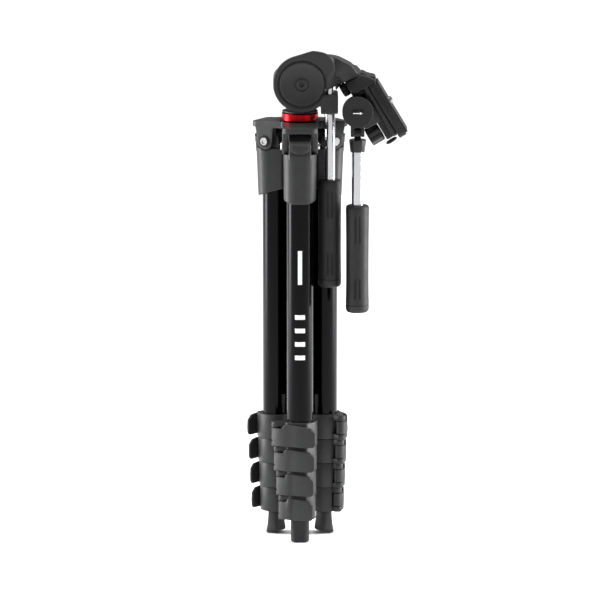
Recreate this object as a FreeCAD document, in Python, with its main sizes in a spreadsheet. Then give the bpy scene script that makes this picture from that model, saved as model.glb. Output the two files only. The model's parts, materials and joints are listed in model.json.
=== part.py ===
# Folding travel tripod with a folded three-way head, modelled in its packed position.
# Millimetres, +Z up. The origin is on the floor, on the axis of the centre column.
# The front leg stands at -Y. The other two legs are the same pieces turned by 120 degrees.
import FreeCAD
import Part
import math
import os
import re

doc = FreeCAD.newDocument("travel_tripod")
sheet = doc.addObject("Spreadsheet::Sheet", "sizes")

DIMENSIONS = {
    # legs: five nested tubes on a circle round the column
    "leg_space": 1.75,
    "tube_radius": 11.75,
    "tube_step": 1.68,
    "tube_wall": 1.1,
    "tube_top": 338.0,
    "tube_top_step": 2.0,
    # twist-free lever locks, one at the lower end of each of the four outer tubes
    "lock_pitch": 22.0,
    "lock_gap": 0.4,
    "collar_wall": 3.55,
    "collar_step": 0.5,
    "nose_step": 1.0,
    "nose_drop": 3.1,
    "shoulder_drop": 6.8,
    "lug_height": 4.4,
    "lever_reach": 9.25,
    "lever_pivot_step": 2.03,
    "lever_pivot_back": 6.75,
    "lever_barrel": 4.0,
    "lever_half_plate": 1.3,
    "lever_pin": 1.5,
    "lever_margin": 0.6,
    "lever_tip_drop": 3.4,
    "lever_bulge": 3.7,
    "lever_tip_bulge": 6.0,
    # feet
    "foot_height": 21.3,
    "foot_half_width": 8.2,
    "foot_corner": 4.0,
    "foot_inward": 9.0,
    "foot_outward": 4.5,
    "foot_flat": 2.0,
    "foot_wall": 1.37,
    "foot_socket": 6.5,
    "foot_flare": 9.0,
    "foot_waist": 17.0,
    "sole_angle": 24.0,
    # leg castings and their hinges
    "yoke_cover": 35.0,
    "yoke_rise": 9.0,
    "yoke_cap": 9.0,
    "yoke_wall": 2.25,
    "yoke_flare": 1.5,
    "yoke_back_wall": 1.15,
    "yoke_back_corner": 3.5,
    "yoke_back_half": 7.0,
    "yoke_front_corner": 11.0,
    "tongue_width": 19.3,
    "tongue_gap": 1.2,
    "tongue_inset": 0.2,
    "hinge_out": 2.5,
    "hinge_rise": 6.3,
    "hinge_play": 0.35,
    "bolt_radius": 3.0,
    "bolt_head_radius": 3.9,
    "bolt_head_height": 1.7,
    "ear_radius": 7.5,
    "latch_margin": 1.9,
    "latch_lift": 0.8,
    "latch_rise": 5.7,
    "latch_plate": 1.4,
    "latch_ridge": 2.7,
    "latch_stem": 2.0,
    # spider: the casting that carries the legs and guides the column
    "spider_gap": 1.2,
    "spider_thickness": 6.7,
    "spider_overhang": 17.0,
    "spider_corner": 6.0,
    "dish_depth": 1.6,
    "dish_margin": 1.3,
    "sleeve_wall": 3.8,
    "sleeve_lift": 1.0,
    "collet_wall": 2.2,
    "collet_height": 4.8,
    "ring_wall": 3.0,
    "ring_height": 8.8,
    "ring_chamfer": 2.5,
    "ring_lip": 2.0,
    # centre column
    "column_radius": 11.0,
    "column_wall": 1.4,
    "column_lift": 20.7,
    "column_plug": 18.0,
    "end_cap_height": 4.0,
    "end_cap_depth": 8.0,
    "spindle_radius": 6.0,
    "spindle_length": 15.0,
    # pan base and tilt drum
    "turntable_radius": 15.7,
    "turntable_height": 1.5,
    "tilt_side": 1.6,
    "housing_radius": 25.2,
    "housing_gap": 0.4,
    "housing_front": 22.0,
    "housing_rear": 10.0,
    "housing_wall": 4.9,
    "drum_recess": 2.5,
    "cap_margin": 0.9,
    "cap_height": 3.5,
    "cheek_gap": 0.5,
    "cheek_width": 7.5,
    "cheek_margin": 3.2,
    "cheek_foot": 10.0,
    # arm that carries the roll joint, and its clamp ears
    "arm_front": 19.0,
    "arm_rear": 7.0,
    "arm_crown": 16.0,
    "crown_side": 13.0,
    "crown_rise": 13.6,
    "nose_side": 6.6,
    "nose_rise": 6.8,
    "chin_side": 5.2,
    "ear_side": 30.4,
    "ear_inner": 16.5,
    "ear_bottom": 26.6,
    "ear_step": 1.3,
    "slit_top": 5.3,
    "slit_bottom": 9.3,
    "arm_reach": 42.6,
    "arm_rise": 3.6,
    "roll_depth": -6.0,
    "fold_angle": 59.0,
    "flange_radius": 12.2,
    "flange_length": 9.0,
    "shaft_radius": 4.0,
    "shaft_length": 24.0,
    # camera platform, in its own frame: length along the roll axis, height square to it
    "platform_length": 62.2,
    "platform_width": 22.0,
    "platform_top": 10.5,
    "belly_drop": 3.0,
    "belly_start": 15.5,
    "belly_end": 24.0,
    "groove_depth": 2.2,
    "groove_width": 16.0,
    "stop_length": 12.0,
    "plate_overhang": 3.8,
    "plate_width": 36.0,
    "plate_top": 17.2,
    "plate_corner": 4.0,
    "pad_height": 2.0,
    "pad_inset": 1.5,
    "screw_from_end": 27.7,
    "screw_radius": 3.175,
    "screw_shank": 2.6,
    "screw_stand": 2.6,
    "screw_head_radius": 8.0,
    "screw_head_height": 1.8,
    "screw_head_thickness": 3.2,
    "lock_knob_from_end": 8.7,
    "lock_knob_radius": 8.5,
    "lock_knob_height": 13.2,
    "roll_knob_place": 6.5,
    "roll_knob_radius": 6.0,
    "roll_knob_bottom": 12.8,
    "roll_knob_top": 6.3,
    "end_knob_height": 2.3,
    "end_knob_radius": 5.5,
    "end_knob_stand": 2.6,
    "end_knob_thickness": 2.3,
    "knob_stem": 2.5,
    # tilt handle, screwed through the clamp ears
    "handle_clearance": 0.3,
    "tilt_handle_depth": -15.0,
    "tilt_rod_radius": 4.7,
    "tilt_screw_radius": 3.0,
    "tilt_screw_end": 3.8,
    "tilt_rod_bare": 57.9,
    "grip_length": 95.0,
    "grip_radius": 10.25,
    "grip_end_wall": 12.0,
    "grip_rounding": 3.0,
    # roll handle on its hub, folded down beside the legs
    "hub_along": 26.5766,
    "hub_below": 8.969,
    "hub_radius": 14.5,
    "hub_front": 30.0,
    "hub_rear": 20.0,
    "hub_neck_radius": 9.0,
    "hub_bolt_radius": 3.0,
    "knuckle_drop": 18.5,
    "knuckle_radius": 5.2,
    "knuckle_gap": 6.4,
    "knuckle_width": 13.0,
    "knuckle_pin": 1.6,
    "neck_radius": 2.9,
    "neck_drop": 5.5,
    "roll_rod_radius": 5.05,
    "roll_rod_bare": 57.0,
    "collar_length": 11.0,
    "collar_cover": 1.0,
    "collar_top_radius": 7.5,
    "collar_bottom_radius": 6.3,
    # clearances
    "running_fit": 0.08,
    "free_gap": 0.3,
    "thin_gap": 0.1,
}

# Sizes and heights that follow from the ones above, so that neighbours move together.
PLACES = {
    "leg_circle": "column_radius + tube_radius + leg_space",
    "last_radius": "tube_radius - 4 * tube_step",
    "foot_neck": "last_radius + foot_wall",
    "collar_radius": "tube_radius + collar_wall",
    "lever_pivot_side": "tube_radius + lever_reach",
    "lever_pivot_out": "tube_radius - lever_pivot_back",
    "yoke_bottom": "tube_top - yoke_cover",
    "yoke_inner_bottom": "yoke_bottom + yoke_rise",
    "yoke_shoulder": "tube_top + yoke_cap",
    "yoke_half_bottom": "tube_radius + yoke_wall",
    "yoke_half_top": "yoke_half_bottom + yoke_flare",
    "yoke_back": "tube_radius + yoke_back_wall",
    "tongue_front": "yoke_half_top - tongue_inset",
    "hinge_height": "yoke_shoulder + hinge_rise",
    "fork_gap": "tongue_width + 2 * hinge_play",
    "latch_width": "tongue_width - latch_margin",
    "latch_bottom": "yoke_shoulder + latch_lift",
    "latch_top": "hinge_height + latch_rise",
    "sleeve_radius": "column_radius + sleeve_wall",
    "sleeve_bottom": "yoke_shoulder + sleeve_lift",
    "tongue_radius": "leg_circle + hinge_out - sleeve_radius - tongue_gap",
    "spider_half_width": "yoke_half_top",
    "spider_reach": "leg_circle + spider_overhang",
    "spider_bottom": "hinge_height + tongue_radius + spider_gap",
    "spider_top": "spider_bottom + spider_thickness",
    "bolt_length": "2 * (spider_half_width + bolt_head_height)",
    "dish_floor": "spider_top - dish_depth",
    "collet_radius": "column_radius + collet_wall",
    "collet_top": "spider_top + collet_height",
    "ring_radius": "collet_radius + ring_wall",
    "dish_radius": "ring_radius + dish_margin",
    "column_bottom": "foot_height + 4 * lock_pitch + column_lift",
    "column_top": "dish_floor + thin_gap + ring_height",
    "turntable_bottom": "column_top + 2 * thin_gap",
    "tilt_height": "turntable_bottom + turntable_height + housing_radius + housing_gap",
    "drum_radius": "housing_radius - housing_wall",
    "drum_front": "housing_front - drum_recess",
    "cap_radius": "drum_radius - cap_margin",
    "cheek_radius": "housing_radius - cheek_margin",
    "roll_side": "tilt_side + arm_reach",
    "roll_height": "tilt_height + arm_rise",
    "plate_end": "platform_length + plate_overhang",
    "screw_place": "platform_length - screw_from_end",
    "lock_knob_place": "platform_length - lock_knob_from_end",
    "lock_knob_edge": "lock_knob_place - lock_knob_radius",
    "tilt_handle_side": "yoke_half_top + grip_radius + handle_clearance",
    "tilt_rod_top": "tilt_height - ear_bottom - free_gap",
    "tilt_screw_top": "tilt_height - tilt_screw_end",
    "tilt_grip_top": "tilt_rod_top - tilt_rod_bare",
    "hub_side": "roll_side + hub_along * cos(fold_angle * 1deg) - hub_below * sin(fold_angle * 1deg)",
    "hub_height": "roll_height - hub_along * sin(fold_angle * 1deg) - hub_below * cos(fold_angle * 1deg)",
    "knuckle_height": "hub_height - knuckle_drop",
    "collar_top": "knuckle_height - neck_drop",
    "roll_rod_top": "collar_top - collar_cover",
    "roll_grip_top": "roll_rod_top - roll_rod_bare",
}
NAMES = re.compile(r"\b(" + "|".join(sorted([*DIMENSIONS, *PLACES], key=len, reverse=True)) + r")\b")
LOCKS = range(4)
pieces = []


def bound(text):
    """Formula over the sheet and the places, written with plain names."""
    return NAMES.sub(lambda found: ("places." if found[0] in PLACES else "sizes.") + found[0], str(text))


for row, (alias, value) in enumerate(DIMENSIONS.items(), start=1):
    sheet.set(f"A{row}", alias.replace("_", " "))
    sheet.set(f"B{row}", str(value))
    sheet.setAlias(f"B{row}", alias)
places = doc.addObject("App::VarSet", "places")
for name, formula in PLACES.items():
    places.addProperty("App::PropertyFloat", name)
    places.setExpression(name, bound(formula))
doc.recompute()
size = {alias: float(sheet.get(alias)) for alias in DIMENSIONS}
size.update({name: getattr(places, name) for name in PLACES})


def keep(piece, label, turn=0.0):
    """Register a finished sub-part, turned round the column axis."""
    if turn:
        piece.Placement = FreeCAD.Placement(FreeCAD.Vector(), FreeCAD.Rotation(FreeCAD.Vector(0, 0, 1), turn))
    piece.Label = label
    pieces.append(piece)
    return piece


# ---- outlines -------------------------------------------------------------------------

def band(discs):
    """Edges of the taut band round a set of discs given as (x, y, radius)."""
    def reach(disc, angle):
        return disc[0] * math.cos(angle) + disc[1] * math.sin(angle) + disc[2]

    def handover(before, after):
        away = math.atan2(before[1] - after[1], before[0] - after[0])
        apart = math.hypot(before[0] - after[0], before[1] - after[1])
        return away + math.acos((after[2] - before[2]) / apart)

    order = []
    for step in range(720):
        angle = math.radians(0.5 * step)
        widest = max(discs, key=lambda disc: reach(disc, angle))
        if not order or order[-1] is not widest:
            order.append(widest)
    if order[0] is order[-1]:
        order.pop()
    arcs = []
    for place, disc in enumerate(order):
        start = handover(order[place - 1], disc)
        stop = handover(disc, order[(place + 1) % len(order)])
        while stop < start:
            stop += 2 * math.pi
        while stop > start + 2 * math.pi:
            stop -= 2 * math.pi
        arcs.append(Part.ArcOfCircle(ring_curve(*disc), start, stop))
    edges = []
    for arc, following in zip(arcs, arcs[1:] + arcs[:1]):
        edges.append(arc)
        edges.append(Part.LineSegment(arc.EndPoint, following.StartPoint))
    return edges


def ring_curve(x, y, radius):
    return Part.Circle(FreeCAD.Vector(x, y, 0), FreeCAD.Vector(0, 0, 1), radius)


def circle(x, y, radius):
    return [ring_curve(x, y, radius)]


def polygon(points):
    corners = [FreeCAD.Vector(x, y, 0) for x, y in points]
    return [Part.LineSegment(a, b) for a, b in zip(corners, corners[1:] + corners[:1])]


def outward(side, out):
    """Plan position of a point on the front leg: sideways and outwards from the tube's axis."""
    return side, -size["leg_circle"] - out


def disc_out(side, out, radius):
    return (*outward(side, out), radius)


# ---- features -------------------------------------------------------------------------

def new_body(name):
    return doc.addObject("PartDesign::Body", name)


def new_sketch(body, plane, offset, outlines):
    role = plane + "_Plane"
    origin = next(feature for feature in body.Origin.OriginFeatures if feature.Role == role)
    sketch = body.newObject("Sketcher::SketchObject", "outline")
    sketch.AttachmentSupport = [(origin, "")]
    sketch.MapMode = "FlatFace"
    sketch.setExpression("AttachmentOffset.Base.z", bound(offset))
    for outline in outlines:
        for edge in outline:
            sketch.addGeometry(edge, False)
    return sketch


def slab(body, plane, low, high, *outlines, remove=False):
    """Material (or a cut) between two offsets from an origin plane. XZ runs towards -Y."""
    sketch = new_sketch(body, plane, f"-({high})" if plane == "XZ" else low, outlines)
    feature = body.newObject("PartDesign::Pocket" if remove else "PartDesign::Pad", "layer")
    feature.Profile = sketch
    feature.setExpression("Length", bound(f"({high}) - ({low})"))
    feature.Reversed = remove
    body.Tip = feature
    return feature


def hole(body, plane, low, high, *outlines):
    return slab(body, plane, low, high, *outlines, remove=True)


def loft(body, low, high, low_outline, high_outline):
    feature = body.newObject("PartDesign::AdditiveLoft", "taper")
    feature.Profile = new_sketch(body, "XY", low, [low_outline])
    feature.Sections = [new_sketch(body, "XY", high, [high_outline])]
    body.Tip = feature
    return feature


def threefold(body, *features):
    pattern = body.newObject("PartDesign::PolarPattern", "three_legs")
    pattern.Originals = list(features)
    axis = next(feature for feature in body.Origin.OriginFeatures if feature.Role == "Z_Axis")
    pattern.Axis = (axis, [""])
    pattern.Occurrences = 3
    body.Tip = pattern
    return pattern


def bar(name, radius, low, high, side="0", depth="0"):
    """Upright round bar."""
    piece = doc.addObject("Part::Cylinder", name)
    piece.setExpression("Radius", bound(radius))
    piece.setExpression("Height", bound(f"({high}) - ({low})"))
    piece.setExpression("Placement.Base.x", bound(side))
    piece.setExpression("Placement.Base.y", bound(depth))
    piece.setExpression("Placement.Base.z", bound(low))
    return piece


def cone(name, low_radius, high_radius, low, high, side="0", depth="0"):
    piece = doc.addObject("Part::Cone", name)
    piece.setExpression("Radius1", bound(low_radius))
    piece.setExpression("Radius2", bound(high_radius))
    piece.setExpression("Height", bound(f"({high}) - ({low})"))
    piece.setExpression("Placement.Base.x", bound(side))
    piece.setExpression("Placement.Base.y", bound(depth))
    piece.setExpression("Placement.Base.z", bound(low))
    return piece


def joined(name, *shapes):
    piece = doc.addObject("Part::MultiFuse", name)
    piece.Shapes = list(shapes)
    return piece


def bored(name, base, *tools):
    piece = doc.addObject("Part::Cut", name)
    piece.Base = base
    piece.Tool = tools[0] if len(tools) == 1 else joined(name + "_tools", *tools)
    return piece


def rounded(name, base, radius):
    """The same piece with its round edges broken by a radius."""
    doc.recompute()
    piece = doc.addObject("Part::Fillet", name)
    piece.Base = base
    piece.Edges = [(number, radius, radius) for number, edge in enumerate(base.Shape.Edges, start=1)
                   if edge.Closed and edge.Curve.Radius > size["roll_rod_radius"] + radius]
    return piece


# ---- one leg --------------------------------------------------------------------------

def tube_radius(number):
    return size["tube_radius"] - number * size["tube_step"]


def lock_low(number):
    return f"foot_height + {3 - number} * lock_pitch"


def lock_high(number):
    return f"foot_height + {4 - number} * lock_pitch - lock_gap"


def lever_pivot(number):
    return -size["lever_pivot_side"] + number * size["lever_pivot_step"], size["lever_pivot_out"]


def lever_path(number):
    """Middle line of the lever plate from its barrel, across the front, to the free end."""
    side, out = lever_pivot(number)
    inward = number * size["nose_step"]
    inset = number * size["lever_pivot_step"]
    front = size["collar_radius"] - inward
    return [(side - 1.3, out + 2.7), (side + 5.0, out + 8.2), (-8.0 + inset / 4, front + 0.9 + inward / 4),
            (0.0, front + size["lever_bulge"]), (12.0 - inset / 3, front + size["lever_tip_bulge"])]


def yoke(leg, turn):
    body = new_body(leg + "_yoke")
    back = size["yoke_back_corner"] - size["yoke_back"]
    back_half = size["yoke_back_half"]

    def outline(half):
        front = size["yoke_front_corner"]
        return band([disc_out(front - half, half + 0.3 - front, front),
                     disc_out(half - front, half + 0.3 - front, front),
                     disc_out(back_half, back, size["yoke_back_corner"]),
                     disc_out(-back_half, back, size["yoke_back_corner"])])

    loft(body, "yoke_bottom", "yoke_shoulder", outline(size["yoke_half_bottom"]),
         outline(size["yoke_half_top"]))
    pivot_y = outward(0, size["hinge_out"])[1]
    front_y = outward(0, size["tongue_front"])[1]
    shoulder = size["yoke_shoulder"]
    tongue = band([(pivot_y, size["hinge_height"], size["tongue_radius"]),
                   (front_y + 2, size["latch_top"] - 4.5, 2), (front_y + 1, shoulder - 3, 1),
                   (pivot_y + size["tongue_radius"] - 1, shoulder - 3, 1)])
    slab(body, "YZ", "-tongue_width / 2", "tongue_width / 2", tongue)
    hole(body, "YZ", "-fork_gap", "fork_gap",
         circle(pivot_y, size["hinge_height"], size["bolt_radius"] + size["running_fit"]))
    relief = circle(pivot_y, size["hinge_height"], size["ear_radius"] + size["free_gap"])
    hole(body, "YZ", "tongue_width / 2", "fork_gap", relief)
    hole(body, "YZ", "-fork_gap", "-tongue_width / 2", relief)
    low, high = size["yoke_bottom"], size["yoke_inner_bottom"]
    wedge = [(outward(0, size["yoke_half_top"] + 2)[1], low - 1), (outward(0, -14)[1], high),
             (outward(0, -14)[1], low - 1)]
    hole(body, "YZ", "-fork_gap", "fork_gap", polygon(wedge))
    hole(body, "XY", "yoke_bottom - 1", "tube_top", circle(*outward(0, 0), size["tube_radius"]))
    stem = circle(0, size["hinge_height"], size["latch_stem"] + size["running_fit"])
    hole(body, "XZ", "-leg_circle - tongue_front - 1", "-leg_circle - tongue_front + 6", stem)
    keep(body, leg + "_yoke", turn)


def latch(leg, turn):
    body = new_body(leg + "_angle_latch")
    half = size["latch_width"] / 2
    low, high = size["latch_bottom"], size["latch_top"]
    plate = band([(-half + 3, low + 3, 3), (half - 3, low + 3, 3), (half - 1.5, high - 1.5, 1.5),
                  (-half + 1.5, high - 1.5, 1.5)])
    face = "-leg_circle - tongue_front - free_gap"
    slab(body, "XZ", f"{face} - latch_plate", face, plate)
    for ridge in (low + 1.9, high - 2.4):
        bead = band([(-half + 2.8, ridge, 0.9), (half - 2.8, ridge, 0.9)])
        slab(body, "XZ", f"{face} - latch_plate - latch_ridge", f"{face} - latch_plate", bead)
    slab(body, "XZ", face, f"{face} + 5", circle(0, size["hinge_height"], size["latch_stem"]))
    keep(body, leg + "_angle_latch", turn)


def section(leg, turn, number):
    """A leg tube with the lock collar that is glued to its lower end."""
    label = f"{leg}_section_{number + 1}"
    body = new_body(label)
    low, high = lock_low(number), lock_high(number)
    radius = size["collar_radius"] - number * size["collar_step"]
    inward = number * size["nose_step"]
    side, out = lever_pivot(number)
    lug = size["lug_height"]
    front = size["collar_radius"] - inward
    nose = [disc_out(0, 0, radius), disc_out(-8.5 + inward / 2, front - size["shoulder_drop"], 4.5),
            disc_out(4.0, front - size["nose_drop"], 4.2)]
    slab(body, "XY", low, high, band(nose))
    ear = band([disc_out(side, out, size["lever_barrel"]), disc_out(-5, 3, 6)])
    slab(body, "XY", low, f"{low} + {lug}", ear)
    slab(body, "XY", f"{high} - {lug}", high, ear)
    hole(body, "XY", f"{low} + lug_height", f"{high} - lug_height",
         circle(*outward(side, out), size["lever_barrel"] + 2 * size["free_gap"]))
    slab(body, "XY", low, high, circle(*outward(side, out), size["lever_pin"]))
    slab(body, "XY", f"{low} + 2", f"tube_top - {number} * tube_top_step",
         circle(*outward(0, 0), tube_radius(number)))
    hole(body, "XY", f"{low} - 1", "tube_top + 1",
         circle(*outward(0, 0), tube_radius(number + 1) + size["running_fit"]))
    hole(body, "XY", f"{high} - 2", "tube_top + 1",
         circle(*outward(0, 0), tube_radius(number) - size["tube_wall"]))
    keep(body, label, turn)


def lever(leg, turn, number):
    label = f"{leg}_lever_{number + 1}"
    body = new_body(label)
    low, high = lock_low(number), lock_high(number)
    side, out = lever_pivot(number)
    path = lever_path(number)
    half = size["lever_half_plate"]
    inner_low = f"{low} + lug_height + free_gap"
    inner_high = f"{high} - lug_height - free_gap"
    slab(body, "XY", inner_low, inner_high, circle(*outward(side, out), size["lever_barrel"]))
    spans = [(inner_low, inner_high), (f"{low} + lever_margin", f"{high} - lever_margin"),
             (f"{low} + lever_margin", f"{high} - lever_margin"),
             (f"{low} + lever_tip_drop - 0.5", f"{high} - lever_tip_drop - 0.4")]
    for start, stop, (bottom, top) in zip(path, path[1:], spans):
        slab(body, "XY", bottom, top, band([disc_out(*start, half), disc_out(*stop, half)]))
    hole(body, "XY", f"{low} - 1", high,
         circle(*outward(side, out), size["lever_pin"] + size["running_fit"]))
    keep(body, label, turn)


def last_section(leg, turn):
    body = new_body(leg + "_section_5")
    radius = tube_radius(4)
    slab(body, "XY", "foot_height - foot_socket", "tube_top - 4 * tube_top_step", circle(*outward(0, 0), radius))
    hole(body, "XY", "foot_height - foot_socket", "tube_top",
         circle(*outward(0, 0), radius - size["tube_wall"]))
    keep(body, leg + "_section_5", turn)


def foot(leg, turn):
    body = new_body(leg + "_foot")
    corner = size["foot_corner"]
    half = size["foot_half_width"] - corner
    back, front = corner - size["foot_inward"], size["foot_outward"] - corner
    waist = size["foot_neck"] - corner
    base = [disc_out(-half, back, corner), disc_out(half, back, corner),
            disc_out(half, front, corner), disc_out(-half, front, corner)]
    top = [disc_out(-waist, -waist, corner), disc_out(waist, -waist, corner),
           disc_out(waist, waist, corner), disc_out(-waist, waist, corner)]
    slab(body, "XY", "0", "foot_flare", band(base))
    loft(body, "foot_flare", "foot_waist", band(base), band(top))
    slab(body, "XY", "foot_waist", "foot_height - lock_gap / 2", circle(*outward(0, 0), size["foot_neck"]))
    flat = size["foot_outward"] - size["foot_flat"]
    rise = math.tan(math.radians(size["sole_angle"])) * (flat + size["foot_inward"] + 1)
    inner = -size["foot_inward"] - 1
    hole(body, "YZ", "-foot_half_width - 1", "foot_half_width + 1",
         polygon([(outward(0, flat)[1], 0), (outward(0, inner)[1], rise), (outward(0, inner)[1], 0)]))
    hole(body, "XY", "foot_height - foot_socket", "foot_height", circle(*outward(0, 0), tube_radius(4)))
    keep(body, leg + "_foot", turn)


def build_leg(leg, turn):
    yoke(leg, turn)
    latch(leg, turn)
    for number in LOCKS:
        section(leg, turn, number)
        lever(leg, turn, number)
    last_section(leg, turn)
    foot(leg, turn)


# ---- spider, hinge bolts and column ---------------------------------------------------

def spider():
    body = new_body("spider")
    corner = size["spider_corner"]
    half = size["spider_half_width"]
    lobe = band([(0, 0, half), (corner - half, corner - size["spider_reach"], corner),
                 (half - corner, corner - size["spider_reach"], corner)])
    pivot_y = outward(0, size["hinge_out"])[1]
    top = size["spider_bottom"] + 0.5
    ear = band([(pivot_y, size["hinge_height"], size["ear_radius"]),
                (outward(0, 10.5)[1], top - 1.5, 1.5), (outward(0, -4.5)[1], top - 1.5, 1.5)])
    eye = circle(pivot_y, size["hinge_height"], size["bolt_radius"])
    plate = slab(body, "XY", "spider_bottom", "spider_top", lobe)
    right = slab(body, "YZ", "fork_gap / 2", "spider_half_width", ear, eye)
    left = slab(body, "YZ", "-spider_half_width", "-fork_gap / 2", ear, eye)
    threefold(body, plate, right, left)
    slab(body, "XY", "sleeve_bottom", "spider_bottom + 1", circle(0, 0, size["sleeve_radius"]))
    hole(body, "XY", "dish_floor", "spider_top + 1", circle(0, 0, size["dish_radius"]))
    slab(body, "XY", "dish_floor - 1", "collet_top", circle(0, 0, size["collet_radius"]))
    hole(body, "XY", "sleeve_bottom - 1", "collet_top + 1",
         circle(0, 0, size["column_radius"] + size["running_fit"]))
    keep(body, "spider")


def hinge_bolts():
    body = new_body("leg_hinge_bolts")
    body.AllowCompound = True
    pivot = circle(outward(0, size["hinge_out"])[1], size["hinge_height"], size["bolt_radius"])
    head = circle(outward(0, size["hinge_out"])[1], size["hinge_height"], size["bolt_head_radius"])
    shank = slab(body, "YZ", "-spider_half_width", "spider_half_width", pivot)
    right = slab(body, "YZ", "spider_half_width", "bolt_length / 2", head)
    left = slab(body, "YZ", "-bolt_length / 2", "-spider_half_width", head)
    threefold(body, shank, right, left)
    keep(body, "leg_hinge_bolts")


def column_lock_ring():
    low = "dish_floor + thin_gap"
    foot_cone = cone("ring_foot", "ring_radius - ring_chamfer", "ring_radius", low, f"{low} + ring_chamfer")
    wall = bar("ring_wall", "ring_radius", f"{low} + ring_chamfer", f"{low} + ring_height")
    thread = bar("ring_thread", "collet_radius + running_fit", f"{low} - 1",
                 f"{low} + ring_height - ring_lip")
    mouth = bar("ring_mouth", "column_radius + free_gap", low, f"{low} + ring_height + 1")
    keep(bored("column_lock_ring", joined("ring_blank", foot_cone, wall), thread, mouth),
         "column_lock_ring")


def center_column():
    tube = bar("column_tube", "column_radius", "column_bottom", "column_top")
    inside = bar("column_inside", "column_radius - column_wall", "column_bottom - 1",
                 "column_top - column_plug")
    socket = bar("column_socket", "spindle_radius + running_fit", "column_top - column_plug - 1",
                 "column_top + 1")
    keep(bored("center_column", tube, inside, socket), "center_column")
    rim = bar("cap_rim", "column_radius", "column_bottom - end_cap_height", "column_bottom")
    spigot = bar("cap_spigot", "column_radius - column_wall", "column_bottom", "column_bottom + end_cap_depth")
    keep(joined("column_end_cap", rim, spigot), "column_end_cap")


# ---- head: pan base, drum, arm --------------------------------------------------------

def pan_base():
    body = new_body("pan_base")
    low = "turntable_bottom"
    slab(body, "XY", low, f"{low} + turntable_height", circle(0, 0, size["turntable_radius"]))
    slab(body, "XY", f"{low} - spindle_length", low, circle(0, 0, size["spindle_radius"]))
    foot_height = size["turntable_bottom"] + 2
    cheek = band([(size["tilt_side"], size["tilt_height"], size["cheek_radius"]),
                  (size["tilt_side"] - size["cheek_foot"], foot_height, 2),
                  (size["tilt_side"] + size["cheek_foot"], foot_height, 2)])
    slab(body, "XZ", "housing_rear + cheek_gap", "housing_rear + cheek_gap + cheek_width", cheek)
    keep(body, "pan_base")


def tilt_drum():
    body = new_body("tilt_drum")
    slab(body, "XZ", "-drum_front", "housing_rear + cheek_gap",
         circle(size["tilt_side"], size["tilt_height"], size["drum_radius"]))
    keep(body, "tilt_drum")
    cap = new_body("drum_cap")
    slab(cap, "XZ", "-drum_front - cap_height", "-drum_front",
         circle(size["tilt_side"], size["tilt_height"], size["cap_radius"]))
    keep(cap, "drum_cap")


def on_platform(piece, along=0.0, across=0.0, up=0.0):
    """Place a piece drawn in the platform's own frame: X along the roll axis, Z square to it."""
    turn = FreeCAD.Rotation(FreeCAD.Vector(0, 1, 0), size["fold_angle"])
    seam = FreeCAD.Vector(size["roll_side"], size["roll_depth"], size["roll_height"])
    piece.Placement = FreeCAD.Placement(seam + turn.multVec(FreeCAD.Vector(along, across, up)), turn)
    return piece


def along_roll(piece, start):
    """Lay a round bar along the roll axis, starting at a distance from the seam."""
    turn = FreeCAD.Rotation(FreeCAD.Vector(0, 1, 0), 90 + size["fold_angle"])
    seam = FreeCAD.Vector(size["roll_side"], size["roll_depth"], size["roll_height"])
    piece.Placement = FreeCAD.Placement(seam + turn.multVec(FreeCAD.Vector(0, 0, start)), turn)
    return piece


def length_bar(name, radius, length):
    piece = doc.addObject("Part::Cylinder", name)
    piece.setExpression("Radius", bound(radius))
    piece.setExpression("Height", bound(length))
    return piece


def tilt_arm():
    body = new_body("arm_casting")
    x, z = size["tilt_side"], size["tilt_height"]
    barrel = (x, z, size["housing_radius"])
    crown = (x + size["crown_side"], z + size["crown_rise"], size["arm_crown"])
    nose = (size["roll_side"] + size["nose_side"], size["roll_height"] + size["nose_rise"], 3.0)
    chin = (size["roll_side"] - size["chin_side"], size["roll_height"] + 0.8, 2.6)
    slab(body, "XZ", "-housing_front", "housing_rear", circle(*barrel))
    slab(body, "XZ", "-housing_front", "housing_rear",
         polygon([(x, z + 4), (x + size["ear_side"], z + 4), (x + size["ear_side"], z - size["slit_top"]),
                  (x + size["ear_side"] + size["ear_step"], z - size["slit_bottom"]),
                  (x + size["ear_side"] + size["ear_step"], z - size["ear_bottom"]),
                  (x + size["ear_inner"], z - size["ear_bottom"]), (x + size["ear_inner"], z - 12),
                  (x, z - 12)]))
    slab(body, "XZ", "-housing_front", "housing_rear", band([barrel, crown]))
    slab(body, "XZ", "-arm_front", "arm_rear", band([crown, nose, chin]))
    hole(body, "XZ", "-housing_front", "housing_rear",
         circle(x, z, size["drum_radius"] + size["thin_gap"]))
    slit_far = x + size["ear_side"] + 4
    hole(body, "XZ", "-housing_front", "housing_rear",
         polygon([(x + 15, z - size["slit_top"]), (slit_far, z - size["slit_top"]),
                  (slit_far, z - size["slit_bottom"]), (x + 15, z - size["slit_bottom"])]))
    flange = along_roll(length_bar("arm_flange", "flange_radius", "flange_length"),
                        -size["flange_length"] - size["free_gap"])
    shaft_room = along_roll(length_bar("arm_shaft_bore", "shaft_radius + running_fit", "shaft_length"),
                            -size["shaft_length"] / 2 - 1)
    beyond = doc.addObject("Part::Box", "arm_seam")
    beyond.setExpression("Length", bound("shaft_length"))
    beyond.setExpression("Width", bound("4 * flange_radius"))
    beyond.setExpression("Height", bound("3 * flange_radius"))
    on_platform(beyond, -size["free_gap"], -2 * size["flange_radius"], -1.15 * size["flange_radius"])
    screw_way = bar("ear_bore", "tilt_screw_radius + running_fit", "tilt_rod_top - 2",
                    "tilt_screw_top + 1", "tilt_handle_side", "tilt_handle_depth")
    keep(bored("tilt_arm", joined("arm_with_flange", body, flange), shaft_room, beyond, screw_way),
         "tilt_arm")


# ---- camera platform ------------------------------------------------------------------

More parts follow.
